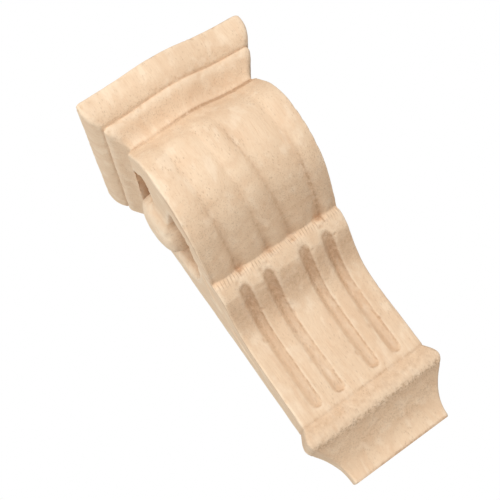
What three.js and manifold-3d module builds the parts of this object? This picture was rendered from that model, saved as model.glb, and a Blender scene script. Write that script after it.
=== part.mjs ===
// A carved wooden corbel: a wall bracket cut from one block.
// Millimetres, +Z up. The wall is the plane Y = 0 and the carved front faces -Y.
// The origin is the middle of the flat back. "Below" is a distance down from the top.
import * as THREE from 'three';
import { mergeVertices } from 'three/addons/utils/BufferGeometryUtils.js';
import Module from 'manifold-3d';

const wasm = await Module();
wasm.setup();

// Overall sizes
const corbelHeight = 190;
const capWidth = 85.6;
const capDepth = 79.4;
const capBow = 3.2;
const bowSharpness = 3;

// Cap mouldings, from the top down
const capArris = 1.3;
const capCorner = 2.2;
const capDraft = 1.4;
const ovoloHeight = 13.8;
const ovoloInset = 4.1;
const ovoloFullness = 2.8;
const capQuirk = 0.5;
const filletStep = 0.3;
const filletHeight = 1.9;
const coveHeight = 10.6;
const neckInset = 10.1;
const bodyInset = 9.3;
const neckUndercut = 0.7;

// Front line of the body
const scrollSwell = 12.3;
const scrollHeight = 62.7;
const scrollValleyDepth = 47.5;
const bandHeight = 9.9;
const bandSwell = 0.7;
const crestDepth = 43.1;
const crestRound = 1;
const sweepHeight = 34.1;
const waistDepth = 22.5;
const footDepth = 21.2;
const cornerRound = 1.4;
const edgeDrop = 0.15;

// Base mouldings
const baseHeight = 32;
const quirkDepth = 0.4;
const quirkHeight = 0.6;
const torusHeight = 11;
const torusBulge = 2.6;
const torusPeak = 0.65;
const torusLip = 1.2;
const hollowPower = 2.1;
const hollowQuirk = 0.6;
const endWidth = 53.4;
const endDepth = 8.2;
const endArris = 0.5;

// Reeds on the scroll, their edges as shares of half the width
const reedEdges = [-1, -0.63, -0.09, 0.24, 0.73, 1];
const outerValleyDepth = 1.7;
const innerValleyDepth = 0.5;
const valleyGrowth = 0.9;
const reedStart = 0.06;
const reedEnd = 0.3;
const reedSteps = 5;

// Flutes on the shaft, their places as shares of half the width
const fluteShares = [-0.655, -0.285, 0.285, 0.655];
const fluteWidth = 5.6;
const fluteDepth = 2.2;
const fluteTopRise = 3.2;
const fluteFootGap = 3.6;

// Carving on the two sides
const pocketDepth = 6.5;
const rimWidth = 18;
const eyeFromWall = 32;
const eyeRadius = 15;
const eyeBelowNeck = 20.5;
const eyeRise = 5.6;
const pocketGap = 1.2;
const tailDrop = 30;
const sideGrooveWidth = 2.6;
const sideGrooveDepth = 1.1;

// Places worked out from the sizes
const topLevel = corbelHeight / 2;
const bodyHalf = capWidth / 2 - bodyInset;
const neckBelow = ovoloHeight + filletHeight + coveHeight;
const neckDepth = capDepth - neckInset;
const eyeBelow = neckBelow + eyeBelowNeck;
const scrollDepth = neckDepth + scrollSwell;
const valleyBelow = neckBelow + scrollHeight;
const crestBelow = valleyBelow + bandHeight;
const waistBelow = crestBelow + sweepHeight;
const footBelow = corbelHeight - baseHeight;

function mix(from, to, share) {
  return from + (to - from) * share;
}

// One horizontal section: the half width, the depth of the front and its bow. The reeds, the corners
// and the narrowing of the sides towards the front are set afterwards where a level has them.
function makeLevel(below, half, depth, bow = 0) {
  return { below, half, depth, bow, reedShare: 0, reedKeep: 1, corner: cornerRound, draft: 0 };
}

// A section of the cap, drawn in from its full size by the same inset on three sides
function capLevel(below, inset) {
  const level = makeLevel(below, capWidth / 2 - inset, capDepth - inset, capBow);
  return { ...level, corner: capCorner, draft: capDraft };
}

// Cap: a soft top arris, a tall ovolo, a fine quirk, a fillet and a cove down to the neck
function capLevels() {
  const levels = [capLevel(0, capArris), capLevel(capArris * 0.3, capArris * 0.3), capLevel(capArris, 0)];
  const ovoloSteps = 8;
  for (let i = 1; i <= ovoloSteps; i++) {
    const share = (i / ovoloSteps) ** 0.7;
    levels.push(capLevel(mix(capArris, ovoloHeight, share), ovoloInset * share ** ovoloFullness));
  }
  const filletInset = ovoloInset + filletStep;
  const filletEdge = ovoloHeight + edgeDrop * 2;
  const filletEnd = ovoloHeight + filletHeight;
  levels.push(capLevel(ovoloHeight + edgeDrop, filletInset + capQuirk));
  levels.push(capLevel(filletEdge, filletInset), capLevel(filletEnd, filletInset));
  const coveSteps = 7;
  for (let i = 1; i <= coveSteps; i++) {
    const share = (1 - Math.cos(Math.PI * (i / coveSteps) ** 0.85)) / 2;
    levels.push(capLevel(mix(filletEnd, neckBelow, i / coveSteps), mix(filletInset, neckInset, share)));
  }
  return levels;
}

// The scroll's front line, from the neck round the swell and under to the valley
function scrollLine() {
  const place = (depthShare, heightShare) =>
    new THREE.Vector2(scrollDepth * depthShare, neckBelow + scrollHeight * heightShare);
  return new THREE.SplineCurve([
    new THREE.Vector2(neckDepth - neckUndercut, neckBelow + edgeDrop),
    place(0.885, 0.062),
    place(0.965, 0.187),
    place(1, 0.313),
    place(1, 0.438),
    place(0.983, 0.563),
    place(0.937, 0.688),
    place(0.85, 0.812),
    place(0.69, 0.939),
    new THREE.Vector2(scrollValleyDepth, valleyBelow),
  ]);
}

function scrollLevels() {
  const steps = 22;
  const line = scrollLine();
  const levels = [];
  for (let i = 0; i <= steps; i++) {
    const share = i / steps;
    const point = line.getPoint(share);
    const fade = (1 - share) ** 2;
    levels.push({ ...makeLevel(point.y, bodyHalf, point.x, capBow * fade), reedShare: share });
  }
  return levels;
}

// The plain band under the scroll, where the reeds run out, swelling a little to a soft crest
function bandLevels() {
  const steps = 5;
  const levels = [];
  for (let i = 0; i <= steps; i++) {
    const share = i / steps;
    const below = mix(valleyBelow + edgeDrop, crestBelow - crestRound, share);
    const swell = bandSwell * Math.sin(Math.PI * share);
    const level = makeLevel(below, bodyHalf, mix(scrollValleyDepth, crestDepth, share) + swell);
    levels.push({ ...level, reedShare: 1, reedKeep: Math.max(1 - share / reedEnd, 0) });
  }
  return levels;
}

// The hollow sweep from the crest to the waist, then the straight shaft to its foot
function shaftLevels() {
  const sweep = new THREE.CubicBezierCurve(
    new THREE.Vector2(crestDepth - crestRound, crestBelow),
    new THREE.Vector2(mix(waistDepth, crestDepth, 0.25), crestBelow + sweepHeight * 0.32),
    new THREE.Vector2(mix(waistDepth, crestDepth, 0.1), crestBelow + sweepHeight * 0.35),
    new THREE.Vector2(waistDepth, waistBelow),
  );
  const sweepSteps = 10;
  const levels = [];
  for (let i = 0; i <= sweepSteps; i++) {
    const point = sweep.getPoint(i / sweepSteps);
    levels.push(makeLevel(point.y, bodyHalf, point.x));
  }
  levels.push(makeLevel(footBelow, bodyHalf, footDepth));
  return levels;
}

// Base: a fine quirk, a torus that swells out and turns under, and a hollow taper to the small end
function baseLevels() {
  const levels = [makeLevel(footBelow + quirkHeight / 2, bodyHalf - quirkDepth, footDepth - quirkDepth)];
  const torusEnd = footBelow + torusHeight;
  const torusSteps = 8;
  for (let i = 0; i <= torusSteps; i++) {
    const share = i / torusSteps;
    const rise = Math.sin((Math.PI / 2) * Math.min(share / torusPeak, 1)) ** 1.2;
    const turnUnder = Math.max((share - torusPeak) / (1 - torusPeak), 0) ** 2;
    const bulge = mix(torusBulge * rise, torusLip, turnUnder);
    const below = mix(footBelow + quirkHeight, torusEnd, share);
    levels.push(makeLevel(below, bodyHalf + bulge, footDepth + bulge));
  }
  const creaseLip = torusLip - hollowQuirk;
  levels.push(makeLevel(torusEnd + hollowQuirk / 2, bodyHalf + creaseLip, footDepth + creaseLip));
  const hollowSteps = 10;
  for (let i = 1; i <= hollowSteps; i++) {
    const share = i / hollowSteps;
    const drop = 1 - (1 - share) ** hollowPower;
    const below = mix(torusEnd, corbelHeight - endArris, share);
    const half = mix(bodyHalf + torusLip, endWidth / 2, drop);
    levels.push(makeLevel(below, half, mix(footDepth + torusLip, endDepth, drop)));
  }
  levels.push(makeLevel(corbelHeight, endWidth / 2 - endArris, endDepth - endArris));
  return levels;
}

// How far the reeded front falls back between two reeds
function reedDrop(across, level) {
  const { reedShare } = level;
  for (let i = 0; i < reedEdges.length - 1; i++) {
    const from = reedEdges[i];
    const to = reedEdges[i + 1];
    if (across >= from && across <= to) {
      const side = ((across - from) / (to - from)) * 2 - 1;
      const edge = Math.abs(side < 0 ? from : to);
      const depth = edge < 0.3 ? innerValleyDepth : outerValleyDepth;
      const valley = edge === 1 ? depth * 0.5 : depth + valleyGrowth * reedShare * reedShare;
      const start = Math.min(reedShare / reedStart, 1);
      return valley * side * side * start * level.reedKeep;
    }
  }
  return 0;
}

// Points across the front from one side to the other, closer together on narrow reeds
function frontShares() {
  const shares = [];
  for (let i = 0; i < reedEdges.length - 1; i++) {
    for (let k = 0; k < reedSteps; k++) {
      shares.push(mix(reedEdges[i], reedEdges[i + 1], k / reedSteps));
    }
  }
  shares.push(1);
  return shares;
}

// The closed outline of one section, seen from above and running against the clock
function sectionRing(level) {
  const cornerSteps = 4;
  const edgeDepth = level.depth - reedDrop(1, level);
  const edgeHalf = level.half - level.draft;
  const corner = Math.min(level.corner, edgeDepth / 2);
  const z = topLevel - level.below;
  const ring = [new THREE.Vector3(level.half, 0, z), new THREE.Vector3(-level.half, 0, z)];
  for (let i = 0; i < cornerSteps; i++) {
    const angle = (Math.PI / 2) * (i / cornerSteps);
    const x = -edgeHalf + corner * (1 - Math.cos(angle));
    ring.push(new THREE.Vector3(x, -(edgeDepth - corner) - corner * Math.sin(angle), z));
  }
  for (const across of frontShares()) {
    const bow = level.bow * Math.cos((Math.PI / 2) * across) ** bowSharpness;
    const depth = level.depth + bow - reedDrop(across, level);
    ring.push(new THREE.Vector3(across * (edgeHalf - corner), -depth, z));
  }
  for (let i = cornerSteps - 1; i >= 0; i--) {
    const angle = (Math.PI / 2) * (i / cornerSteps);
    const x = edgeHalf - corner * (1 - Math.cos(angle));
    ring.push(new THREE.Vector3(x, -(edgeDepth - corner) - corner * Math.sin(angle), z));
  }
  return ring;
}

// A closed body through a stack of sections that all have the same number of points
function loft(levels) {
  const rings = levels.map(sectionRing);
  const count = rings[0].length;
  const positions = rings.flat().flatMap((point) => [point.x, point.y, point.z]);
  const faces = [];
  for (let row = 0; row < rings.length - 1; row++) {
    for (let i = 0; i < count; i++) {
      const next = (i + 1) % count;
      const a = row * count + i;
      const b = row * count + next;
      const c = (row + 1) * count + next;
      const d = (row + 1) * count + i;
      faces.push(a, d, b, b, d, c);
    }
  }
  const flat = rings[0].map((point) => new THREE.Vector2(point.x, point.y));
  for (const [a, b, c] of THREE.ShapeUtils.triangulateShape(flat, [])) {
    faces.push(a, b, c);
  }
  const last = (rings.length - 1) * count;
  const flatEnd = rings[rings.length - 1].map((point) => new THREE.Vector2(point.x, point.y));
  for (const [a, b, c] of THREE.ShapeUtils.triangulateShape(flatEnd, [])) {
    faces.push(last + a, last + c, last + b);
  }
  const geometry = new THREE.BufferGeometry();
  geometry.setAttribute('position', new THREE.Float32BufferAttribute(positions, 3));
  geometry.setIndex(faces);
  return geometry;
}

function toSolid(geometry) {
  geometry.deleteAttribute('normal');
  geometry.deleteAttribute('uv');
  const merged = mergeVertices(geometry, 1e-4);
  return new wasm.Manifold(new wasm.Mesh({
    numProp: 3,
    vertProperties: new Float32Array(merged.attributes.position.array),
    triVerts: new Uint32Array(merged.index.array),
  }));
}

function toGeometry(solid) {
  const mesh = solid.getMesh();
  const geometry = new THREE.BufferGeometry();
  geometry.setAttribute('position', new THREE.BufferAttribute(new Float32Array(mesh.vertProperties), 3));
  geometry.setIndex(new THREE.BufferAttribute(new Uint32Array(mesh.triVerts), 1));
  return geometry;
}

// The depth of the front at a distance below the top
function depthAt(levels, below) {
  const after = levels.findIndex((level) => level.below >= below);
  const high = levels[Math.max(after, 1)];
  const low = levels[Math.max(after, 1) - 1];
  return mix(low.depth, high.depth, (below - low.below) / (high.below - low.below));
}

// The radius of a gouge that cuts a given width at a given depth
function gougeRadius(width, depth) {
  return (width * width / 4 + depth * depth) / (2 * depth);
}

// A round gouge drawn along a curve, with round ends
function gougeAlong(points, radius, steps) {
  const path = new THREE.CatmullRomCurve3(points);
  const circle = new THREE.Shape();
  circle.absarc(0, 0, radius, 0, Math.PI * 2);
  const options = { steps, curveSegments: 6, bevelEnabled: false, extrudePath: path };
  let solid = toSolid(new THREE.ExtrudeGeometry(circle, options));
  for (const end of [points[0], points[points.length - 1]]) {
    const ball = new THREE.SphereGeometry(radius, 12, 8);
    ball.translate(end.x, end.y, end.z);
    solid = solid.add(toSolid(ball));
  }
  return solid;
}

// One flute: from a round notch through the crest down to a round end above the foot
function fluteCutter(levels, share) {
  const radius = gougeRadius(fluteWidth, fluteDepth);
  const start = crestBelow - fluteTopRise + fluteWidth / 2;
  const end = footBelow - fluteFootGap - fluteWidth / 2;
  const stops = [0, 0.14, 0.3, 0.5, 0.75, 1].map((share) => mix(start, end, share));
  const points = stops.map((below) => {
    const y = -(depthAt(levels, below) + radius - fluteDepth);
    return new THREE.Vector3(share * bodyHalf, y, topLevel - below);
  });
  return gougeAlong(points, radius, 12);
}

// A flat-bottomed pocket cut into one side from an outline of depth and distance below the top
function sidePocket(outline, side) {
  const curve = new THREE.SplineCurve([...outline, outline[0]]);
  const shape = new THREE.Shape(curve.getPoints(outline.length * 3).slice(0, -1));
  const clear = 2;
  const block = new THREE.ExtrudeGeometry(shape, { depth: pocketDepth + clear, bevelEnabled: false });
  const turn = new THREE.Matrix4().makeBasis(
    new THREE.Vector3(0, -1, 0),
    new THREE.Vector3(0, 0, -1),
    new THREE.Vector3(1, 0, 0),
  );
  block.applyMatrix4(turn);
  const inner = side > 0 ? bodyHalf - pocketDepth : -bodyHalf - clear;
  block.translate(inner, 0, topLevel);
  return toSolid(block);
}

// The inner edge of the rim that follows the front line round the volute
function rimEdge(levels, below) {
  return new THREE.Vector2(depthAt(levels, below) - rimWidth, below);
}

// A point beside the eye, in shares of its radius towards the front and down
function besideEye(forward, down) {
  return new THREE.Vector2(eyeFromWall + eyeRadius * forward, eyeBelow + eyeRadius * down);
}

// The hollow between the neck and the top of the eye, with both ends running in under the eye
function upperPocket(levels, side) {
  const top = neckBelow + pocketGap;
  const outline = [
    besideEye(-0.85, -0.2),
    new THREE.Vector2(besideEye(-1.15, 0).x, mix(top, eyeBelow, 0.45)),
    new THREE.Vector2(besideEye(-0.85, 0).x, mix(top, eyeBelow, 0.1)),
    new THREE.Vector2(eyeFromWall, top),
    rimEdge(levels, top),
    rimEdge(levels, mix(top, eyeBelow, 0.25)),
    rimEdge(levels, mix(top, eyeBelow, 0.5)),
    besideEye(0.9, -0.3),
    besideEye(0, -0.3),
  ];
  return sidePocket(outline, side);
}

// The larger hollow that runs round under the eye inside the rim
function lowerPocket(levels, side) {
  const outline = [
    besideEye(0.7, 0.5),
    rimEdge(levels, eyeBelow + tailDrop * 0.42),
    rimEdge(levels, eyeBelow + tailDrop * 0.55),
    rimEdge(levels, eyeBelow + tailDrop * 0.79),
    new THREE.Vector2(besideEye(0.8, 0).x, eyeBelow + tailDrop * 0.97),
    new THREE.Vector2(besideEye(0.1, 0).x, eyeBelow + tailDrop),
    new THREE.Vector2(besideEye(-0.7, 0).x, eyeBelow + tailDrop * 0.88),
    new THREE.Vector2(besideEye(-1.15, 0).x, eyeBelow + tailDrop * 0.6),
    besideEye(-1.15, 0.55),
    besideEye(-0.8, 0.15),
    besideEye(0, 0.3),
  ];
  return sidePocket(outline, side);
}

// The round eye of the volute, a low dome that stands a little proud of the side
function eye(side) {
  const clear = 1;
  const foot = -pocketDepth - clear;
  const domeSteps = 5;
  const profile = [new THREE.Vector2(0, foot), new THREE.Vector2(eyeRadius, foot)];
  for (let i = 0; i < domeSteps; i++) {
    const angle = (Math.PI / 2) * (i / domeSteps);
    profile.push(new THREE.Vector2(eyeRadius * Math.cos(angle), eyeRise * Math.sin(angle)));
  }
  profile.push(new THREE.Vector2(0, eyeRise));
  const dome = new THREE.LatheGeometry(profile, 28);
  dome.rotateZ(-side * Math.PI / 2);
  dome.translate(side * bodyHalf, -eyeFromWall, topLevel - eyeBelow);
  return toSolid(dome);
}

// The fine groove that runs on from the lower pocket and follows the front line down the shaft
function sideGroove(levels, side) {
  const radius = gougeRadius(sideGrooveWidth, sideGrooveDepth);
  const start = eyeBelow + tailDrop * 0.98;
  const end = waistBelow - 6;
  const stops = [
    [0, 0.66, 0],
    [0.12, 0.635, 0],
    [0.25, 0.61, 0],
    [0.4, 0.5, 0],
    [0.6, 0.44, 0],
    [0.8, 0.48, 0.2],
    [1, 0.52, 1],
  ];
  const points = stops.map(([share, depthShare, lift]) => {
    const below = mix(start, end, share);
    const x = side * (bodyHalf + radius - sideGrooveDepth * (1 - lift));
    return new THREE.Vector3(x, -depthAt(levels, below) * depthShare, topLevel - below);
  });
  return gougeAlong(points, radius, 12);
}

function corbelGeometry() {
  const levels = [...capLevels(), ...scrollLevels(), ...bandLevels(), ...shaftLevels(), ...baseLevels()];
  let solid = toSolid(loft(levels));
  for (const share of fluteShares) {
    solid = solid.subtract(fluteCutter(levels, share));
  }
  for (const side of [-1, 1]) {
    solid = solid.subtract(upperPocket(levels, side));
    solid = solid.subtract(lowerPocket(levels, side));
    solid = solid.subtract(sideGroove(levels, side));
    solid = solid.add(eye(side));
  }
  return toGeometry(solid);
}

// Pale unfinished wood
const paleWood = new THREE.MeshStandardMaterial({ color: 0xe6cda6, roughness: 0.7, metalness: 0 });

const corbel = new THREE.Mesh(corbelGeometry(), paleWood);
corbel.name = 'corbel';

const part = new THREE.Group();
part.add(corbel);

export default part;
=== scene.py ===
import math
import bpy
import numpy as np
from mathutils import Euler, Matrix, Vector, noise


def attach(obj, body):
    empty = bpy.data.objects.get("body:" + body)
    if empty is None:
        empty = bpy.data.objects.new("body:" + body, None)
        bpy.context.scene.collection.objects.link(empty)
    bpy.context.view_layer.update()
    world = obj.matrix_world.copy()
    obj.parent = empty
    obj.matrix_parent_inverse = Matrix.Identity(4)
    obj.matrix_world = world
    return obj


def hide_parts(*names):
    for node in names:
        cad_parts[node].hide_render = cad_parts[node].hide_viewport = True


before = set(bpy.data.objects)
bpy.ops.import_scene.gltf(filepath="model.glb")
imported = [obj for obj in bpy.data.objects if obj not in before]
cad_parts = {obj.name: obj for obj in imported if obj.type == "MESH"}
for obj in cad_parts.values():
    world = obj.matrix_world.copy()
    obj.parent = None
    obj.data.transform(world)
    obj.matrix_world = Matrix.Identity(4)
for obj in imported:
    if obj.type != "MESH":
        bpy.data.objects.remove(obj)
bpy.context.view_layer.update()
print("frame loaded")

mm = 0.001  # sizes below are in millimetres, "below" is a distance down from the top

# The view: low and a little to the left of the corbel, with the camera rolled
viewSetup = {
    "place": (-74.0, -336.3, -84.6),
    "turn": -11.249,
    "lookUp": 16.304,
    "roll": 36.261,
    "lens": 51.6,
    "shift": (0.0, 0.044),
}


def makeCamera():
    camera = bpy.data.objects.new("camera", bpy.data.cameras.new("camera"))
    bpy.context.scene.collection.objects.link(camera)
    camera.location = Vector(viewSetup["place"]) * mm
    turn = Euler((math.radians(90 + viewSetup["lookUp"]), 0, math.radians(viewSetup["turn"])), "XYZ")
    roll = Euler((0, 0, -math.radians(viewSetup["roll"])), "XYZ")
    camera.rotation_euler = (turn.to_matrix() @ roll.to_matrix()).to_euler("XYZ")
    camera.data.lens = viewSetup["lens"]
    camera.data.shift_x, camera.data.shift_y = viewSetup["shift"]
    camera.data.clip_start = 0.01
    bpy.context.scene.camera = camera


makeCamera()
print("camera placed")

# The corbel's forms
block = {
    "height": 190,
    "capWidth": 85.6,
    "capDepth": 79.4,
    "capBow": 3.2,
    "bowSharpness": (2, 4.5),  # left and right of the middle
    "capCorner": 2.2,
    "capDraft": 1.4,  # the cap narrows this much towards the front on each side
    "bodyCorner": 1.4,
    "rowStep": 0.78,  # spacing of the mesh rows down the front line
    "frontColumns": 150,
    "sideColumns": 64,
    "cornerColumns": 6,
}
capMould = {
    "arris": 1.3,
    "ovoloHeight": 13.8,
    "ovoloInset": 4.1,
    "ovoloFullness": 2.8,
    "rowCrowding": 0.8,  # under 1 the rows lie closer towards the end of the ovolo
    "quirk": 0.5,
    "filletStep": 0.3,
    "filletHeight": 1.9,
    "coveHeight": 10.6,
    "coveLean": 0.85,  # under 1 the cove draws in earlier
    "neckInset": 10.1,
    "bodyInset": 9.3,
    "neckUndercut": 0.7,
}
scroll = {
    "swell": 12.3,
    "height": 62.7,
    "frontLength": 92,
    "frontLine": (  # shares of the greatest depth and of the height
        (0.885, 0.062),
        (0.965, 0.187),
        (1, 0.313),
        (1, 0.438),
        (0.983, 0.563),
        (0.937, 0.688),
        (0.85, 0.812),
        (0.69, 0.939),
    ),
    "valleyDepth": 47.5,
    # The valleys between the reeds wander down the scroll
    "edgesAtNeck": (-1, -0.7, -0.27, 0.02, 0.68, 1),
    "edgesAtFoot": (-1, -0.61, -0.12, 0.24, 0.72, 1),
    "outerValley": (0.5, 3.4),  # depth at the neck and at the foot
    "innerValley": (0.2, 2.6),
    "wander": 0.012,
    "reedHang": 1.3,
    "valleyGrowth": 1.8,
    "valleyUneven": 0.25,
    "outerShare": 0.45,  # valleys further out than this are outer ones
    "reedFullness": 2.2,
    "reedStart": 0.06,
    "reedEnd": 0.3,
}
band = {"height": 9.9, "swell": 0.7, "crestDepth": 43.1, "crestRound": 1.0}
shaft = {
    "sweepHeight": 34.1,
    "sweepLength": 38,
    "sweepPulls": ((0.25, 0.32), (0.1, 0.35)),  # shares of the way out from the waist and down
    "waistDepth": 22.5,
    "footDepth": 21.2,
}
foot = {
    "height": 32,
    "quirkDepth": 0.4,
    "quirkHeight": 0.6,
    "torusHeight": 11,
    "torusBulge": 2.6,
    "torusPeak": 0.65,
    "torusLip": 1.2,
    "hollowPower": 2.1,
    "hollowLength": 28,
    "hollowQuirk": 0.6,
    "endWidth": 53.4,
    "endDepth": 8.2,
    "endArris": 0.5,
}

turnDrop = 0.15  # a small step down between two rows where the front turns in sharply

bodyHalf = block["capWidth"] / 2 - capMould["bodyInset"]
neckBelow = capMould["ovoloHeight"] + capMould["filletHeight"] + capMould["coveHeight"]
neckDepth = block["capDepth"] - capMould["neckInset"]
scrollDepth = neckDepth + scroll["swell"]
valleyBelow = neckBelow + scroll["height"]
crestBelow = valleyBelow + band["height"]
waistBelow = crestBelow + shaft["sweepHeight"]
footBelow = block["height"] - foot["height"]


def mix(start, end, share):
    return start + (end - start) * share


def smooth(share):
    share = np.clip(share, 0, 1)
    return share * share * (3 - 2 * share)


def stepsFor(length):
    return max(2, round(length / block["rowStep"]))


def splineThrough(points, count, closed=False):
    points = np.array(points, float)
    if closed:
        padded = np.vstack([points[-1], points, points[0], points[1]])
        spans = len(points)
    else:
        padded = np.vstack([2 * points[0] - points[1], points, 2 * points[-1] - points[-2]])
        spans = len(points) - 1
    result = []
    for k in range(count + (0 if closed else 1)):
        place = k * spans / count
        i = min(int(place), spans - 1)
        t = place - i
        a, b, c, d = padded[i:i + 4]
        curve = 2 * b + (c - a) * t + (2 * a - 5 * b + 4 * c - d) * t ** 2 + (3 * b - a - 3 * c + d) * t ** 3
        result.append(curve / 2)
    return np.array(result)


# One row of the block: distance below the top, half width, depth, bow of the front, share down the reeds,
# how much of the reeds is kept, corner radius and how much the sides draw in towards the front
def row(below, half, depth, bow=0.0, reedShare=0.0, reedKeep=1.0, corner=block["bodyCorner"], draft=0.0):
    return (below, half, depth, bow, reedShare, reedKeep, corner, draft)


def capRow(below, inset):
    half, depth = block["capWidth"] / 2 - inset, block["capDepth"] - inset
    return row(below, half, depth, block["capBow"], corner=block["capCorner"], draft=block["capDraft"])


def capRows():
    c = capMould
    rows = []
    for k in range(5):  # the rounded top arris
        angle = math.pi / 2 * k / 4
        rows.append(capRow(c["arris"] * (1 - math.cos(angle)), c["arris"] * (1 - math.sin(angle))))
    count = stepsFor(c["ovoloHeight"] + c["ovoloInset"])
    for k in range(1, count + 1):
        share = (k / count) ** c["rowCrowding"]
        below = mix(c["arris"], c["ovoloHeight"], share)
        rows.append(capRow(below, c["ovoloInset"] * share ** c["ovoloFullness"]))
    inset = c["ovoloInset"] + c["filletStep"]
    filletEnd = c["ovoloHeight"] + c["filletHeight"]
    rows.append(capRow(c["ovoloHeight"] + turnDrop, inset + c["quirk"] * 0.9))
    rows.append(capRow(c["ovoloHeight"] + 2 * turnDrop, inset + c["quirk"]))
    for share, back in ((0.22, 0.2), (0.3, 0.05), (0.6, 0), (1, 0)):
        rows.append(capRow(mix(c["ovoloHeight"], filletEnd, share), inset + back))
    count = stepsFor(c["coveHeight"] * 1.3)
    for k in range(1, count + 1):
        share = (1 - math.cos(math.pi * (k / count) ** c["coveLean"])) / 2
        rows.append(capRow(mix(filletEnd, neckBelow, k / count), mix(inset, c["neckInset"], share)))
    return rows


def scrollRows():
    through = [(neckDepth - capMould["neckUndercut"], neckBelow + turnDrop)]
    for depthShare, heightShare in scroll["frontLine"]:
        through.append((scrollDepth * depthShare, neckBelow + scroll["height"] * heightShare))
    through.append((scroll["valleyDepth"], valleyBelow))
    line = splineThrough(through, stepsFor(scroll["frontLength"]))
    count = len(line) - 1
    rows = []
    for k, (depth, below) in enumerate(line):
        fade = (1 - k / count) ** 2
        rows.append(row(below, bodyHalf, depth, block["capBow"] * fade, k / count))
    return rows


def bandRows():
    count = stepsFor(band["height"])
    crestRound = band["crestRound"]
    rows = []
    for k in range(count + 1):
        share = k / count
        below = mix(valleyBelow + turnDrop, crestBelow - crestRound, share)
        depth = mix(scroll["valleyDepth"], band["crestDepth"], share)
        depth += band["swell"] * math.sin(math.pi * share)
        keep = max(1 - share / scroll["reedEnd"], 0)
        rows.append(row(below, bodyHalf, depth, reedShare=1.0, reedKeep=keep))
    for angle in (0.4, 0.8, 1.2):  # the round nose of the crest
        drop, back = crestRound * math.sin(angle), crestRound * (1 - math.cos(angle))
        rows.append(row(crestBelow - crestRound + drop, bodyHalf, band["crestDepth"] - back))
    return rows


def shaftRows():
    start = np.array((band["crestDepth"] - band["crestRound"], crestBelow))
    pulls = []
    for depthShare, heightShare in shaft["sweepPulls"]:
        depth = mix(shaft["waistDepth"], band["crestDepth"], depthShare)
        pulls.append(np.array((depth, crestBelow + shaft["sweepHeight"] * heightShare)))
    waist = np.array((shaft["waistDepth"], waistBelow))
    count = stepsFor(shaft["sweepLength"])
    rows = []
    for k in range(count + 1):
        t = k / count
        point = start * (1 - t) ** 3 + 3 * pulls[0] * t * (1 - t) ** 2
        point = point + 3 * pulls[1] * t ** 2 * (1 - t) + waist * t ** 3
        rows.append(row(point[1], bodyHalf, point[0]))
    count = stepsFor(footBelow - waistBelow)
    for k in range(1, count + 1):
        below = mix(waistBelow, footBelow, k / count)
        rows.append(row(below, bodyHalf, mix(shaft["waistDepth"], shaft["footDepth"], k / count)))
    return rows


def footRows():
    f = foot
    depth = shaft["footDepth"]
    rows = [row(footBelow + f["quirkHeight"] / 2, bodyHalf - f["quirkDepth"], depth - f["quirkDepth"])]
    torusEnd = footBelow + f["torusHeight"]
    count = stepsFor(f["torusHeight"] * 1.3)
    for k in range(count + 1):
        share = k / count
        rise = math.sin(math.pi / 2 * min(share / f["torusPeak"], 1)) ** 1.2
        turnUnder = max((share - f["torusPeak"]) / (1 - f["torusPeak"]), 0) ** 2
        bulge = mix(f["torusBulge"] * rise, f["torusLip"], turnUnder)
        rows.append(row(mix(footBelow + f["quirkHeight"], torusEnd, share), bodyHalf + bulge, depth + bulge))
    lip = f["torusLip"] - f["hollowQuirk"]
    rows.append(row(torusEnd + f["hollowQuirk"] / 2, bodyHalf + lip, depth + lip))
    count = stepsFor(f["hollowLength"])
    for k in range(1, count + 1):
        drop = 1 - (1 - k / count) ** f["hollowPower"]
        below = mix(torusEnd, block["height"] - f["endArris"], k / count)
        half = mix(bodyHalf + f["torusLip"], f["endWidth"] / 2, drop)
        rows.append(row(below, half, mix(depth + f["torusLip"], f["endDepth"], drop)))
    rows.append(row(block["height"], f["endWidth"] / 2 - f["endArris"], f["endDepth"] - f["endArris"]))
    return rows


def wobble(seed, place):
    return noise.noise(Vector((seed * 7.31, 3.7, place)))


# Where the valleys between the reeds lie in one row, as shares of the half width
def reedEdges(reedShare):
    edges = []
    for k, (atNeck, atFoot) in enumerate(zip(scroll["edgesAtNeck"], scroll["edgesAtFoot"])):
        stray = scroll["wander"] * wobble(k, reedShare * 5) if abs(atNeck) < 1 else 0
        edges.append(mix(atNeck, atFoot, reedShare ** 1.5) + stray)
    return edges


# How far the reeds of one row fall back towards the valleys between them
def reedDrop(across, reedShare, reedKeep):
    if reedShare == 0:
        return np.zeros_like(across)
    edges = reedEdges(reedShare)
    start = min(reedShare / scroll["reedStart"], 1)
    depths = []
    for k, edge in enumerate(edges):
        atNeck, atFoot = scroll["innerValley"] if abs(edge) < scroll["outerShare"] else scroll["outerValley"]
        depth = mix(atNeck, atFoot, reedShare ** scroll["valleyGrowth"])
        depth *= 1 + scroll["valleyUneven"] * wobble(k + 20, reedShare * 7)
        depths.append(depth * (0.5 if abs(edge) == 1 else 1))
    drop = np.zeros_like(across)
    for k, (left, right) in enumerate(zip(edges, edges[1:])):
        inside = (across >= left) & (across <= right)
        side = (across - left) / (right - left) * 2 - 1
        valley = np.where(side < 0, depths[k], depths[k + 1])
        drop = np.where(inside, valley * np.abs(side) ** scroll["reedFullness"], drop)
    return drop * start * reedKeep


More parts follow.
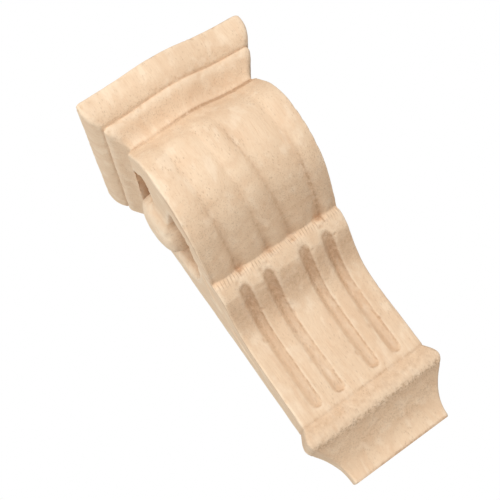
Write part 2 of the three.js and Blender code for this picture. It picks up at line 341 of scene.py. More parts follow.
# The flutes stand in two pairs; places are shares of the half width
flutes = {
    "places": (-0.655, -0.285, 0.285, 0.655),
    "width": 5.0,
    "depth": 2.3,
    "footDepth": 1.9,
    "topRise": 3.4,
    "footGap": 3.6,
    "softSide": 1.3,  # the left walls are this much wider than the right ones
    "leftWall": 1.6,  # over 1 a wall runs in slowly, under 1 it is steep
    "rightWall": 0.7,
    "notchDepth": 1.7,  # extra depth where a flute bites through the crest
    "notchPlace": 1.5,  # below the crest
    "notchReach": 6,
}
fluteHalf = flutes["width"] / 2
fluteTop = crestBelow - flutes["topRise"] + fluteHalf  # the middles of the round ends
fluteEnd = footBelow - flutes["footGap"] - fluteHalf


# The gouge cut of the flutes; slope is the run of the surface for one unit down
def fluteCut(x, below, slope):
    beyond = np.where(below < fluteTop, fluteTop - below, np.maximum(below - fluteEnd, 0))
    secant = np.minimum(np.sqrt(1 + slope ** 2), 1.5)  # the cut's depth is measured square to the surface
    fromNotch = np.abs(below - crestBelow - flutes["notchPlace"])
    notch = flutes["notchDepth"] * smooth(1 - fromNotch / flutes["notchReach"])
    cut = np.zeros_like(x)
    for place in flutes["places"]:
        u = x - place * bodyHalf
        half = fluteHalf * np.where(u < 0, flutes["softSide"], 1.0)
        reach = np.clip(1 - (u / half) ** 2 - (beyond / fluteHalf) ** 2, 0, 1)
        profile = reach ** np.where(u < 0, flutes["leftWall"], flutes["rightWall"])
        depth = mix(flutes["depth"], flutes["footDepth"], smooth((below - crestBelow - 4) / 40))
        cut = np.maximum(cut, profile * (depth * secant + notch))
    return cut


# Signed distance to a closed outline, below zero inside
def outlineDistance(points, outline):
    nearest = np.full(len(points), 1e9)
    inside = np.zeros(len(points), bool)
    for a, b in zip(outline, np.roll(outline, -1, axis=0)):
        along = b - a
        share = np.clip((points - a) @ along / (along @ along), 0, 1)
        nearest = np.minimum(nearest, np.linalg.norm(points - a - share[:, None] * along, axis=1))
        crosses = (a[1] > points[:, 1]) != (b[1] > points[:, 1])
        rise = np.where(b[1] == a[1], 1, b[1] - a[1])
        inside ^= crosses & (points[:, 0] < a[0] + (points[:, 1] - a[1]) * along[0] / rise)
    return np.where(inside, -nearest, nearest)


def lineDistance(points, line):
    nearest = np.full(len(points), 1e9)
    for a, b in zip(line, line[1:]):
        along = b - a
        share = np.clip((points - a) @ along / (along @ along), 0, 1)
        nearest = np.minimum(nearest, np.linalg.norm(points - a - share[:, None] * along, axis=1))
    return nearest


volute = {
    "pocketDepth": 6.5,
    "pocketWall": 1.5,
    "rimWidth": 18,
    "eyeFromWall": 32,
    "eyeRadius": 15,
    "eyeBelowNeck": 20.5,
    "eyeRise": 5.6,
    "pocketGap": 1.2,
    "tailDrop": 30,
    "grooveWidth": 2.6,
    "grooveDepth": 1.1,
    # The groove's place down its length, as shares of its height and of the depth at that level
    "grooveLine": ((0, 0.66), (0.12, 0.635), (0.25, 0.61), (0.4, 0.5), (0.6, 0.44), (0.8, 0.48), (1, 0.52)),
}
eyeBelow = neckBelow + volute["eyeBelowNeck"]


# The outlines of the two pockets and the line of the groove, as depths and distances below the top
def makeVolute(levels):
    v = volute

    def depthAt(below):
        return float(np.interp(below, levels[:, 0], levels[:, 2]))

    def rim(below):
        return (depthAt(below) - v["rimWidth"], below)

    def beside(forward, down):
        return (v["eyeFromWall"] + v["eyeRadius"] * forward, eyeBelow + v["eyeRadius"] * down)

    top = neckBelow + v["pocketGap"]
    upper = splineThrough([
        beside(-0.85, -0.2),
        (beside(-1.15, 0)[0], mix(top, eyeBelow, 0.45)),
        (beside(-0.85, 0)[0], mix(top, eyeBelow, 0.1)),
        (v["eyeFromWall"], top),
        rim(top),
        rim(mix(top, eyeBelow, 0.25)),
        rim(mix(top, eyeBelow, 0.5)),
        beside(0.9, -0.3),
        beside(0, -0.3),
    ], 72, closed=True)
    drop = v["tailDrop"]
    lower = splineThrough([
        beside(0.7, 0.5),
        rim(eyeBelow + drop * 0.42),
        rim(eyeBelow + drop * 0.55),
        rim(eyeBelow + drop * 0.79),
        (beside(0.8, 0)[0], eyeBelow + drop * 0.97),
        (beside(0.1, 0)[0], eyeBelow + drop),
        (beside(-0.7, 0)[0], eyeBelow + drop * 0.88),
        (beside(-1.15, 0)[0], eyeBelow + drop * 0.6),
        beside(-1.15, 0.55),
        beside(-0.8, 0.15),
        beside(0, 0.3),
    ], 88, closed=True)
    start = eyeBelow + drop * 0.98
    end = waistBelow - 6
    groove = []
    for share, depthShare in v["grooveLine"]:
        below = mix(start, end, share)
        groove.append((depthAt(below) * depthShare, below))
    return upper, lower, splineThrough(groove, 60)


# How far the side stands out from its plane, from the depth and the distance below the top
def sideRelief(depth, below, outlines):
    v = volute
    upper, lower, groove = outlines
    points = np.stack([depth, below], axis=1)
    wall = v["pocketWall"]
    hollow = np.minimum(outlineDistance(points, upper), outlineDistance(points, lower))
    relief = -v["pocketDepth"] * smooth((wall * 0.5 - hollow) / wall)
    fromEye = np.hypot(depth - v["eyeFromWall"], below - eyeBelow)
    relief *= smooth((fromEye - v["eyeRadius"]) / 0.9)
    dome = np.sqrt(np.maximum(1 - (fromEye / v["eyeRadius"]) ** 2, 0))
    relief += v["eyeRise"] * dome
    fromGroove = lineDistance(points, groove)
    fade = 1 - 0.8 * smooth((below - (waistBelow - 16)) / 10)
    relief -= v["grooveDepth"] * fade * smooth(1 - fromGroove / (v["grooveWidth"] * 0.6))
    return relief


# The corbel's skin as rows of points, each from the back left corner round the front to the back right one
def makeSkin():
    levels = np.array(capRows() + scrollRows() + bandRows() + shaftRows() + footRows())
    outlines = makeVolute(levels)
    rowCount = len(levels)
    below, half, depth, bow, reedShare, reedKeep, corner, draft = levels.T
    slope = np.gradient(depth) / np.maximum(np.gradient(below), 1e-3)
    ends = np.array([1.0])
    edgeDrop = [reedDrop(ends, reedShare[k], reedKeep[k])[0] for k in range(rowCount)]
    edgeDepth = depth - np.array(edgeDrop)
    edgeHalf = half - draft
    corner = np.minimum(corner, edgeDepth / 2)
    side = np.linspace(0, 1, block["sideColumns"])
    arc = np.linspace(0, math.pi / 2, block["cornerColumns"] + 2)[1:-1]
    across = np.linspace(-1, 1, block["frontColumns"])
    sideDepth = np.outer(edgeDepth - corner, side)
    sideBelow = np.repeat(below[:, None], len(side), axis=1)
    relief = sideRelief(sideDepth.ravel(), sideBelow.ravel(), outlines).reshape(sideDepth.shape)
    inBody = smooth(sideBelow - neckBelow)
    sideHalf = half[:, None] - np.outer(draft, side) + relief * inBody
    leftSide = np.stack([-sideHalf, -sideDepth, sideBelow], axis=2)
    rightSide = np.stack([sideHalf, -sideDepth, sideBelow], axis=2)[:, ::-1]
    arcX = edgeHalf[:, None] - corner[:, None] * (1 - np.cos(arc))
    arcY = (edgeDepth - corner)[:, None] + corner[:, None] * np.sin(arc)
    arcBelow = np.repeat(below[:, None], len(arc), axis=1)
    leftArc = np.stack([-arcX, -arcY, arcBelow], axis=2)
    rightArc = np.stack([arcX, -arcY, arcBelow], axis=2)[:, ::-1]
    frontX = np.outer(edgeHalf - corner, across)
    # The ends of the reeds hang a little over the band
    lobe = 0.5 - np.clip(reedDrop(across, 1.0, 1.0) / 2, 0, 1)
    hang = scroll["reedHang"] * np.exp(-((below - valleyBelow) / 3.5) ** 2)
    frontBelow = below[:, None] + np.outer(hang, lobe)
    left, right = block["bowSharpness"]
    bowShape = np.cos(math.pi / 2 * across) ** np.where(across < 0, left, right)
    frontDepth = depth[:, None] + bow[:, None] * bowShape
    for k in range(rowCount):
        frontDepth[k] -= reedDrop(across, reedShare[k], reedKeep[k])
    onShaft = (frontBelow > valleyBelow) & (frontBelow < footBelow)
    cut = fluteCut(frontX, frontBelow, np.repeat(slope[:, None], len(across), axis=1))
    frontDepth -= np.where(onShaft, cut, 0)
    front = np.stack([frontX, -frontDepth, frontBelow], axis=2)
    skin = np.concatenate([leftSide, leftArc, front, rightArc, rightSide], axis=1)
    skin[:, :, 2] = block["height"] / 2 - skin[:, :, 2]
    return skin


# The skin with every point moved to the average of its neighbours, so many rounds over
def spreadAverage(skin, rounds):
    soft = skin.copy()
    for _ in range(rounds):
        padded = np.concatenate([soft[:1], soft, soft[-1:]], axis=0)
        padded = np.concatenate([padded[:, :1], padded, padded[:, -1:]], axis=1)
        soft = (padded[:-2, 1:-1] + padded[2:, 1:-1] + padded[1:-1, :-2] + padded[1:-1, 2:]) / 4
    return soft


def gridNormals(skin):
    down = np.gradient(skin, axis=0)
    around = np.gradient(skin, axis=1)
    normal = np.cross(down, around)
    return normal / np.maximum(np.linalg.norm(normal, axis=2, keepdims=True), 1e-9)


# Rubs the edges round and the creases soft, but leaves the flat ends and the back where they are
def sanded(skin, rounds):
    soft = skin.copy()
    for _ in range(rounds):
        middle = soft[1:-1, 1:-1]
        beside = (soft[:-2, 1:-1] + soft[2:, 1:-1] + soft[1:-1, :-2] + soft[1:-1, 2:]) / 4
        soft[1:-1, 1:-1] = middle * 0.4 + beside * 0.6
    return soft


handWork = {
    "sanding": 2,  # rounds of softening over the whole skin
    "crestSanding": 9,  # more rounds at the crest, which is worn round
    "waveDepth": 0.18,  # slow unevenness of the hand-cut surfaces
    "waveLength": 15.0,
    "toolDepth": 0.09,
    "toolLength": 4.5,
    "chipDepth": 0.35,
    "chipLength": 2.6,
    "crestReach": 4.5,  # how far from the crest the extra sanding goes
}


# Slow waves, tool marks and small chips on the edges, all cut inwards
def handCarved(skin):
    h = handWork
    flat = skin  # its first and last rows are the level ends
    below = block["height"] / 2 - skin[:, :, 2]
    crestShare = np.exp(-((below - crestBelow) / h["crestReach"]) ** 2)[:, :, None]
    skin = sanded(skin, h["sanding"])
    skin = skin + (sanded(skin, h["crestSanding"]) - skin) * crestShare
    normal = gridNormals(skin)
    edge = smooth(-np.sum((spreadAverage(skin, 6) - skin) * normal, axis=2) / 0.2)
    cut = np.zeros(skin.shape[:2])
    for r, c in np.ndindex(cut.shape):
        place = Vector(skin[r, c])
        wave = noise.noise(place / h["waveLength"]) + 0.5
        tool = noise.noise(place / h["toolLength"] + Vector((9, 2, 4))) + 0.5
        chip = noise.noise(place / h["chipLength"] + Vector((1, 8, 3)))
        cut[r, c] = h["waveDepth"] * wave + h["toolDepth"] * tool
        cut[r, c] += h["chipDepth"] * edge[r, c] * max(chip, 0) ** 2 * 4
    carved = skin - normal * np.maximum(cut, 0.02)[:, :, None]
    carved[0, :, 2], carved[-1, :, 2] = flat[0, :, 2], flat[-1, :, 2]
    carved[:, 0, 1] = carved[:, -1, 1] = 0
    carved[:, :, 1] = np.minimum(carved[:, :, 1], 0)
    return carved


# Dirt and painted shade; each belt has its place below the top, how far it fades up and down, and its
# strength on the front and on the sides
grimeAndPaintedShade = {
    "belts": (
        # painted shade in the creases under the ovolo and the fillet, at the neck, under the crest, at the
        # foot line and under the torus; the other belts darken the lower shaft, the torus and the foot's
        # hollow
        (capMould["ovoloHeight"] + 0.4, 0.6, 0.6, 0.4, 0.9),
        (capMould["ovoloHeight"] + capMould["filletHeight"] + 0.4, 0.7, 0.7, 0.2, 0.2),
        (neckBelow, 0.8, 1.2, 0.6, 0.6),
        (crestBelow + 3.5, 2.4, 7.5, 0.75, 0),
        (footBelow - 18, 28, 17, 0.28, 0),
        (footBelow, 0.6, 0.6, 0.6, 0.6),
        (footBelow + 5, 5, 5, 0.65, 0.65),
        (footBelow + foot["torusHeight"], 1.6, 2.0, 0.5, 0.5),
        (footBelow + 19, 6, 7, 0.3, 0.3),
    ),
    # These grow from nothing at a place across the corbel to their full strength, so many millimetres on
    "growingBelts": (
        # painted shade in the neck crease, over the low front of the scroll and along the edge of the lower
        # end, each darker towards the right
        (neckBelow + 0.1, 0.5, 1.2, 1.9, 1.9, -30, 45),
        (valleyBelow - 5, 8, 5, 0.3, 0, -10, 30),
        (block["height"] - 0.1, 0.8, 0.8, 2.0, 0, -30, 30),
    ),
    # For each valley from the left: shares of the scroll where its painted shade begins and is full, and
    # strength
    "valleys": ((0.5, 1, 1.1), (0.6, 1, 0.9), (0.12, 0.4, 0.9), (0.35, 0.9, 1.4)),
    "valleyCore": (0.6, 0.6),  # strength and width
    "valleyHaze": (0.4, 2.0),
    # painted shade in the side pockets
    "pocket": 1.1,
    "pocketFrom": 1.5,  # how far in from the side the painted shade of the pockets begins
    "frontEdge": 1.4,
    "speck": (24.6, 137.4),  # one small dark speck beside the right flute, across and below the top
    "speckSize": (0.55, 0.8),
    "speckStrength": 2.2,
}
fluteMarks = {
    # Place across the flute and width, of the painted shade on the left wall and of the painted light on the
    # right half
    "shade": (-1.1, 1.7),
    "lit": (0.9, 1.2),
    "lip": (-0.15, 0.36),  # from the right edge; place and width of a painted dark line along the lip
    # Place as a share of the flute's half width, and width, of the painted shade rings at the round ends
    "topRing": (0.8, 0.25),
    "footRing": (0.95, 0.17),
    # Strengths of the painted shade on the left wall, the painted dark line at the lip, the painted shade
    # rings and the painted shade in the notches at the crest
    "leftWallShade": 0.68,
    "lipShade": 1.3,
    "ringShade": 1.3,
    "notchShade": 0.9,
}
# A pale spot on the sweep and painted light on the flutes
paleAndPaintedLight = {
    "spot": (-1, 17),  # a pale spot on the sweep, across and below the crest
    "spotSize": (9, 10),
    "flutes": 1.3,  # painted light on the lower right halves of the flutes
}
tornGrain = {
    # Place, how far it fades up and down, and strength
    "belts": (
        (footBelow + foot["torusHeight"] - 0.6, 1.3, 1.8, 1.3),
        (footBelow + 17.5, 5, 4, 0.6),
    ),
    "sideShare": 0.4,
    "pocket": 0.25,
    "valley": 0.35,
    "flute": 0.7,
    "sweep": 0.25,
}


def bell(away, width):
    return np.exp(-(away / width) ** 2)


# A soft belt across the corbel that fades differently up and down
def belt(below, place, above, under):
    away = below - place
    return bell(away, np.where(away < 0, above, under))


# Painted shade along the valleys between the reeds, growing down the scroll
def valleyShade(x, below):
    dirtAndShade = np.zeros_like(x)
    core, coreWidth = grimeAndPaintedShade["valleyCore"]
    haze, hazeWidth = grimeAndPaintedShade["valleyHaze"]
    for r, level in enumerate(below[:, 0]):
        share = float((level - neckBelow) / scroll["height"])
        if 0 < share < 1.06:
            for edge, (begin, full, strength) in zip(reedEdges(min(share, 1))[1:-1], grimeAndPaintedShade["valleys"]):
                away = x[r] - edge * bodyHalf
                ease = smooth((share - begin) / (full - begin)) * strength
                dirtAndShade[r] += ease * (core * bell(away, coreWidth) + haze * bell(away, hazeWidth))
    return dirtAndShade


# The painted shade on the left half, the painted light on the right half, the painted dark line along the
# right lip and the painted shade rings at the round ends of the flutes
def fluteShades(x, below):
    m = fluteMarks
    shade, lit, lip, ends = (np.zeros_like(x) for _ in range(4))
    for place in flutes["places"]:
        u = x - place * bodyHalf
        shade = np.maximum(shade, bell(u - m["shade"][0], m["shade"][1]))
        lit = np.maximum(lit, bell(u - m["lit"][0], m["lit"][1]))
        lip = np.maximum(lip, bell(u - fluteHalf - m["lip"][0], m["lip"][1]))
        away = np.hypot(u, np.maximum(below - fluteEnd, 0)) / fluteHalf
        ring = bell(away - m["footRing"][0], m["footRing"][1])
        ends = np.maximum(ends, ring * smooth(below - fluteEnd - 0.8))
        away = np.hypot(u, np.maximum(fluteTop - below, 0)) / fluteHalf
        ring = bell(away - m["topRing"][0], m["topRing"][1])
        ends = np.maximum(ends, ring * smooth((fluteTop - below + 1) / 1.5))
    return shade, lit, lip, ends


# How dirty and darkened with painted shade, how pale and brightened with painted light, how ticked and how
# torn the wood is at each point of the skin
def surfaceMarks(skin):
    x, below = skin[:, :, 0], block["height"] / 2 - skin[:, :, 2]
    turn = np.linspace(0, 1, block["cornerColumns"])
    onSide = np.zeros(block["sideColumns"])
    onFront = np.concatenate([onSide, turn, np.ones(block["frontColumns"]), turn[::-1], onSide])
    valley = valleyShade(x, below)
    shade, lit, lip, ends = fluteShades(x, below)
    along = below - crestBelow
    inFlute = smooth((along + 2.5) / 3) * smooth((footBelow - 4 - below) / 3)
    low = smooth((along - 10) / 34)
    # painted shade on the right half of each flute's notch at the crest
    notch = lit * smooth((along + 3) / 2) * smooth((9 - along) / 8)
    pocket = smooth((bodyHalf - np.abs(x) - grimeAndPaintedShade["pocketFrom"]) / 4)
    pocket = pocket * (below > neckBelow + 0.5) * (below < crestBelow) * (1 - onFront)

    # Dirt and painted shade, summed into one layer
    soilAndPaintedShade = np.zeros_like(x)
    for place, above, under, front, side in grimeAndPaintedShade["belts"]:
        soilAndPaintedShade += belt(below, place, above, under) * mix(side, front, onFront)
    for place, above, under, front, side, begin, width in grimeAndPaintedShade["growingBelts"]:
        soilAndPaintedShade += belt(below, place, above, under) * mix(side, front, onFront) * smooth((x - begin) / width)
    # Painted shade in the flutes: on the left walls, less lower down, along the right lips, in rings at the
    # round ends and in the notches
    inside = fluteMarks["leftWallShade"] * shade * (1 - 0.7 * low) + fluteMarks["lipShade"] * lip
    soilAndPaintedShade += onFront * (inFlute * inside + fluteMarks["ringShade"] * ends + fluteMarks["notchShade"] * notch)
    # painted shade in the reed valleys and in the side pockets
    soilAndPaintedShade += onFront * valley + grimeAndPaintedShade["pocket"] * pocket

    # The two long front edges of the sides, from the eye down to the foot
    atEdge = np.zeros(x.shape[1])
    sideCount = block["sideColumns"]
    atEdge[sideCount - 3:sideCount + 2] = (0.3, 0.8, 1, 0.7, 0.3)
    atEdge = np.maximum(atEdge, atEdge[::-1])
    reach = smooth((below - eyeBelow - 4) / 12) * smooth((footBelow - below) / 15)
    soilAndPaintedShade += grimeAndPaintedShade["frontEdge"] * atEdge * reach
    across, down = grimeAndPaintedShade["speck"]
    width, height = grimeAndPaintedShade["speckSize"]
    soilAndPaintedShade += grimeAndPaintedShade["speckStrength"] * bell(x - across, width) * bell(below - down, height) * onFront

    # a pale spot on the sweep, and painted light on the lower right halves of the flutes
    across, down = paleAndPaintedLight["spot"]
    width, height = paleAndPaintedLight["spotSize"]
    paleSpotAndPaintedLight = bell(x - across, width) * bell(along - down, height)
    paleSpotAndPaintedLight = (paleSpotAndPaintedLight + paleAndPaintedLight["flutes"] * inFlute * low * lit) * onFront
    ticks = belt(below, valleyBelow + 2.2, 1.6, 1.8) * onFront

    torn = sum(strength * belt(below, *where) for *where, strength in tornGrain["belts"])
    torn = torn * mix(tornGrain["sideShare"], 1, onFront) + tornGrain["pocket"] * pocket
    sweep = belt(below, crestBelow + 9, 5, 6)
    inside = tornGrain["flute"] * inFlute * shade * (1 - low)
    torn += onFront * (tornGrain["valley"] * valley + inside + tornGrain["sweep"] * sweep)
    for values in (soilAndPaintedShade, torn):  # the back stays plain
        values[:, 0] = values[:, -1] = 0
    return soilAndPaintedShade, paleSpotAndPaintedLight, ticks, torn


def makeCorbel():
    skin = handCarved(makeSkin())
    normal = gridNormals(skin)
    hollow = np.sum((spreadAverage(skin, 12) - skin) * normal, axis=2)
    soilAndPaintedShade, paleSpotAndPaintedLight, ticks, torn = surfaceMarks(skin)
    rows, columns = skin.shape[:2]
    points = (skin * mm).reshape(-1, 3)
    faces = []
    for r in range(rows - 1):
        for c in range(columns - 1):
            a = r * columns + c
            faces.append((a, a + columns, a + columns + 1, a + 1))
        a = r * columns
        faces.append((a, a + columns - 1, a + 2 * columns - 1, a + columns))
    last = (rows - 1) * columns
    faces.append(tuple(range(columns)))
    faces.append(tuple(last + c for c in reversed(range(columns))))
    mesh = bpy.data.meshes.new("carvedCorbel")
    mesh.from_pydata(points.tolist(), [], faces)
    mesh.update()
    corbel = bpy.data.objects.new("carvedCorbel", mesh)
    bpy.context.scene.collection.objects.link(corbel)
    marks = {"hollow": hollow, "soilAndPaintedShade": soilAndPaintedShade, "paleSpotAndPaintedLight": paleSpotAndPaintedLight, "ticks": ticks, "torn": torn}
    for name, values in marks.items():
        layer = mesh.attributes.new(name, "FLOAT", "POINT")
        layer.data.foreach_set("value", values.ravel().astype(np.float32))
    mesh.polygons.foreach_set("use_smooth", [True] * len(mesh.polygons))
    mesh.set_sharp_from_angle(angle=math.radians(55))
    return corbel


corbel = makeCorbel()
print("corbel carved:", len(corbel.data.polygons), "faces")


wood = {
    "colour": (0.84, 0.624, 0.43),
    "streak": (0.70, 0.455, 0.28),
    "pore": (0.40, 0.25, 0.14),
    # dark colour for dirt, tool ticks and painted shade
    "dirtAndShade": (0.46, 0.265, 0.145),
    # pale colour for pale blotches, proud edges, the pale spot and painted light on the flutes
    "paleAndPaintedLight": (0.95, 0.77, 0.58),
    "warm": (0.80, 0.54, 0.345),
    "heart": (14.0, 26.0),  # where the tree's middle lies, seen from above
    "lean": (0.05, -0.11),  # how far it leans for one unit up
    "ringWidth": 3.4,
    # How strongly each layer is laid over the ones before it
    "ringAmount": 0.26,
    "fibreAmount": 0.36,
    "broadAmount": 0.22,
    "blotchAmount": 0.2,
    "paleAmount": 0.4,
    "warmAmount": 0.34,
    "endGrainAmount": 0.2,
    "proudAmount": 0.3,
    "spotAndPaintedLightAmount": 0.32,
    "hollowShadeAmount": 0.12,
    "soilAndShadeAmount": 0.5,
    "speckAmount": 0.4,
    "poreAmount": 0.26,
    "tickAmount": 0.5,
    "tickPitch": 1.35,
    "soilAndShadeMost": 1.4,
    "roughness": (0.58, 0.78),
    "soilAndShadeRoughness": 0.08,
    "specular": 0.3,
    "bumpStrength": 0.7,
    "bumpDepth": 0.00022,  # in metres
}


def makeWood():
    material = bpy.data.materials.new("paleWood")
    material.use_nodes = True
    tree = material.node_tree
    shader = tree.nodes["Principled BSDF"]

    def feed(value, socket):
        if isinstance(value, bpy.types.NodeSocket):
            tree.links.new(value, socket)
        else:
            socket.default_value = value

    def add(kind, inputs, **settings):
        node = tree.nodes.new("ShaderNode" + kind)
        for name, value in settings.items():
            setattr(node, name, value)
        for name, value in inputs.items():
            feed(value, node.inputs[name])
        return node

    def maths(operation, a, b=0.0):
        return add("Math", {0: a, 1: b}, operation=operation).outputs[0]

    def noiseAt(size, detail=2.0, roughness=0.5, seed=0.0):
        scale = tuple(1 / length for length in size)
        away = (seed, seed * 0.7, seed * 0.3)
        spot = add("Mapping", {"Vector": grainPlace, "Location": away, "Scale": scale}).outputs[0]
        settings = {"Vector": spot, "Scale": 1.0, "Detail": detail, "Roughness": roughness}
        return add("TexNoise", settings).outputs[0]

    def spread(value, low, high):
        limits = {"Value": value, "From Min": low, "From Max": high}
        return add("MapRange", limits, interpolation_type="SMOOTHSTEP").outputs[0]

    def times(a, b):
        return maths("MULTIPLY", a, b)

    def rgb(name):
        return (*wood[name], 1)

    # Position in millimetres, bent a little so that the grain wanders
    objectPlace = tree.nodes.new("ShaderNodeTexCoord").outputs["Object"]
    place = add("VectorMath", {0: objectPlace, "Scale": 1000.0}, operation="SCALE").outputs[0]
    slowSpot = add("Mapping", {"Vector": place, "Scale": (0.035, 0.035, 0.014)}).outputs[0]
    slow = add("TexNoise", {"Vector": slowSpot, "Scale": 1.0, "Detail": 2.0}).outputs["Color"]
    centred = add("VectorMath", {0: slow, 1: (0.5, 0.5, 0.5)}, operation="SUBTRACT").outputs[0]
    bend = add("VectorMath", {0: centred, 1: (9.0, 9.0, 0.0)}, operation="MULTIPLY").outputs[0]
    grainPlace = add("VectorMath", {0: place, 1: bend}, operation="ADD").outputs[0]

    # Growth rings round a leaning middle
    axes = add("SeparateXYZ", {"Vector": grainPlace}).outputs
    fromHeart = []
    for k in (0, 1):
        lean = times(axes[2], wood["lean"][k])
        offset = maths("SUBTRACT", axes[k], lean)
        fromHeart.append(maths("POWER", maths("ABSOLUTE", maths("SUBTRACT", offset, wood["heart"][k])), 2.0))
    radius = maths("SQRT", maths("ADD", *fromHeart))
    ringPlace = maths("DIVIDE", radius, wood["ringWidth"])
    ringNoise = add("TexNoise", {"W": ringPlace, "Scale": 1.0, "Detail": 3.0}, noise_dimensions="1D")
    ring = spread(ringNoise.outputs[0], 0.45, 0.72)

    fibre = spread(noiseAt((0.55, 0.55, 22.0), 3.0, 0.6), 0.42, 0.75)
    broad = spread(noiseAt((2.6, 2.6, 70.0), 2.0, 0.5, 5.0), 0.45, 0.75)
    cells = add("Mapping", {"Vector": grainPlace, "Scale": (1.25, 1.25, 0.3)}).outputs[0]
    cell = add("TexVoronoi", {"Vector": cells, "Scale": 1.0})
    present = spread(noiseAt((9.0, 9.0, 26.0), 1.0, 0.5, 11.0), 0.38, 0.62)
    pore = times(spread(cell.outputs["Distance"], 0.26, 0.1), present)
    speck = spread(noiseAt((0.5, 0.5, 1.1), 2.0, 0.6, 17.0), 0.56, 0.72)
    blotch = spread(noiseAt((17.0, 17.0, 30.0), 2.0, 0.5, 23.0), 0.4, 0.7)
    paleBlotch = spread(noiseAt((5.0, 5.0, 9.0), 3.0, 0.5, 41.0), 0.5, 0.68)
    warmBlotch = spread(noiseAt((4.0, 4.0, 12.0), 3.0, 0.55, 47.0), 0.52, 0.7)

    # Ends of the fibres show where the surface faces up or down
    normal = tree.nodes.new("ShaderNodeNewGeometry").outputs["Normal"]
    facing = add("SeparateXYZ", {"Vector": normal}).outputs[2]
    endGrain = spread(maths("ABSOLUTE", facing), 0.25, 0.85)

    def layer(name):
        return add("Attribute", {}, attribute_name=name).outputs["Fac"]

    # Painted shade, darker in the hollows of the skin; lighter on its proud edges
    hollow = spread(layer("hollow"), 0.02, 0.35)
    proud = spread(layer("hollow"), -0.02, -0.3)
    # the pale spot and the painted light on the flutes, made uneven by the pale blotches
    spotAndPaintedLight = times(layer("paleSpotAndPaintedLight"), maths("ADD", paleBlotch, 0.4))
    # dirt and painted shade in creases, valleys, pockets and flutes
    soilAndPaintedShade = layer("soilAndPaintedShade")
    uneven = noiseAt((2.0, 2.0, 2.8), 4.0, 0.7, 29.0)
    uneven = add("MapRange", {"Value": uneven, "From Min": 0.36, "From Max": 0.62, "To Min": 0.3}).outputs[0]
    dirtAndShade = maths("MINIMUM", times(soilAndPaintedShade, uneven), wood["soilAndShadeMost"])
    torn = times(spread(noiseAt((1.0, 1.0, 1.2), 2.0, 0.7, 53.0), 0.5, 0.62), layer("torn"))
    specks = maths("MAXIMUM", times(speck, maths("ADD", times(endGrain, 0.8), 0.2)), torn)

    # Fine tooth ticks along the top of the band
    tickWave = maths("SINE", times(axes[0], 2 * math.pi / wood["tickPitch"]))
    tick = times(spread(tickWave, 0.45, 0.95), layer("ticks"))
    tick = times(tick, spread(noiseAt((2.5, 2.5, 5.0), 1.0, 0.5, 31.0), 0.35, 0.55))

    colour = rgb("colour")
    for over, mask, amount in (
        ("streak", ring, "ringAmount"),
        ("streak", fibre, "fibreAmount"),
        ("streak", broad, "broadAmount"),
        ("streak", blotch, "blotchAmount"),
        ("paleAndPaintedLight", paleBlotch, "paleAmount"),
        ("warm", warmBlotch, "warmAmount"),
        ("streak", endGrain, "endGrainAmount"),
        # lighter on the proud edges, pale on the spot and with painted light on the flutes, then darker with
        # painted shade in the hollows and with the dirt and painted shade of the soil layer
        ("paleAndPaintedLight", proud, "proudAmount"),
        ("paleAndPaintedLight", spotAndPaintedLight, "spotAndPaintedLightAmount"),
        ("dirtAndShade", hollow, "hollowShadeAmount"),
        ("dirtAndShade", dirtAndShade, "soilAndShadeAmount"),
        ("pore", specks, "speckAmount"),
        ("pore", pore, "poreAmount"),
        ("dirtAndShade", tick, "tickAmount"),
    ):
        share = times(mask, wood[amount])
        colour = add("Mix", {0: share, 6: colour, 7: rgb(over)}, data_type="RGBA").outputs[2]
    feed(colour, shader.inputs["Base Color"])

    smoothest, roughest = wood["roughness"]
    rough = add("MapRange", {"Value": fibre, "To Min": smoothest, "To Max": roughest}).outputs[0]
    feed(maths("ADD", rough, times(soilAndPaintedShade, wood["soilAndShadeRoughness"])), shader.inputs["Roughness"])
    shader.inputs["Specular IOR Level"].default_value = wood["specular"]

    # Fibres, pores, specks and ticks are cut in, over a fine unevenness
    height = maths("SUBTRACT", times(fibre, -0.25), times(pore, 0.8))
    height = maths("SUBTRACT", height, times(specks, 0.6))
    height = maths("SUBTRACT", height, tick)
    height = maths("ADD", height, times(noiseAt((1.1, 1.1, 4.0), 3.0, 0.6, 37.0), 0.6))
    bump = add("Bump", {"Height": height, "Strength": wood["bumpStrength"], "Distance": wood["bumpDepth"]})
    feed(bump.outputs[0], shader.inputs["Normal"])
    return material


corbel.data.materials.append(makeWood())
print("wood laid on")
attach(corbel, "root")
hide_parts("corbel")

# A pale floor well below the corbel
floorSetup = {"drop": 160, "half": 320, "colour": (0.86, 0.86, 0.85), "roughness": 0.9}


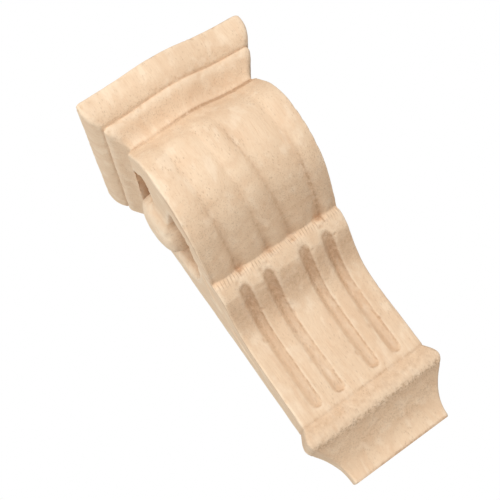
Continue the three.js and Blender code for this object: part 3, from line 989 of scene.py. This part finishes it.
def makeFloor():
    half = floorSetup["half"] * mm
    level = -(block["height"] / 2 + floorSetup["drop"]) * mm
    mesh = bpy.data.meshes.new("floor")
    corners = [(-half, -half, level), (half, -half, level), (half, half, level), (-half, half, level)]
    mesh.from_pydata(corners, [], [(0, 1, 2, 3)])
    floor = bpy.data.objects.new("floor", mesh)
    bpy.context.scene.collection.objects.link(floor)
    paint = bpy.data.materials.new("paleFloor")
    paint.use_nodes = True
    shader = paint.node_tree.nodes["Principled BSDF"]
    shader.inputs["Base Color"].default_value = (*floorSetup["colour"], 1)
    shader.inputs["Roughness"].default_value = floorSetup["roughness"]
    mesh.materials.append(paint)


# Soft studio light: mostly level and from the left, with a weak sky all round
lightSetup = {
    "skyStrength": 0.35,
    "backdropStrength": 1.0,
    "distance": 0.9,
    "size": 0.5,
    "lamps": (  # turn from straight ahead, height angle, power, colour
        ("sideLight", -80, 10, 3.8, (0.9, 0.97, 1.0)),
        ("fillLight", -20, 10, 2.2, (0.97, 0.99, 1.0)),
        ("keyLight", 10, 10, 3.5, (1.0, 1.0, 0.99)),
    ),
}


def makeLights():
    world = bpy.data.worlds.new("studio")
    world.use_nodes = True
    tree = world.node_tree
    sky = tree.nodes["Background"]
    sky.inputs["Color"].default_value = (1, 1, 1, 1)
    sky.inputs["Strength"].default_value = lightSetup["skyStrength"]
    backdrop = tree.nodes.new("ShaderNodeBackground")  # what the camera sees behind the corbel
    backdrop.inputs["Color"].default_value = (1, 1, 1, 1)
    backdrop.inputs["Strength"].default_value = lightSetup["backdropStrength"]
    choose = tree.nodes.new("ShaderNodeMixShader")
    seenDirectly = tree.nodes.new("ShaderNodeLightPath").outputs["Is Camera Ray"]
    tree.links.new(seenDirectly, choose.inputs[0])
    tree.links.new(sky.outputs[0], choose.inputs[1])
    tree.links.new(backdrop.outputs[0], choose.inputs[2])
    tree.links.new(choose.outputs[0], tree.nodes["World Output"].inputs[0])
    bpy.context.scene.world = world
    for name, turn, rise, power, colour in lightSetup["lamps"]:
        lamp = bpy.data.lights.new(name, "AREA")
        lamp.size = lightSetup["size"]
        lamp.energy = power
        lamp.color = colour
        light = bpy.data.objects.new(name, lamp)
        turn, rise = math.radians(turn), math.radians(rise)
        level = math.cos(rise)
        direction = Vector((math.sin(turn) * level, -math.cos(turn) * level, math.sin(rise)))
        light.location = direction * lightSetup["distance"]
        light.rotation_euler = direction.to_track_quat("Z", "Y").to_euler()
        bpy.context.scene.collection.objects.link(light)
    bpy.context.scene.view_settings.view_transform = "Standard"


makeFloor()
makeLights()
print("floor and lights placed")
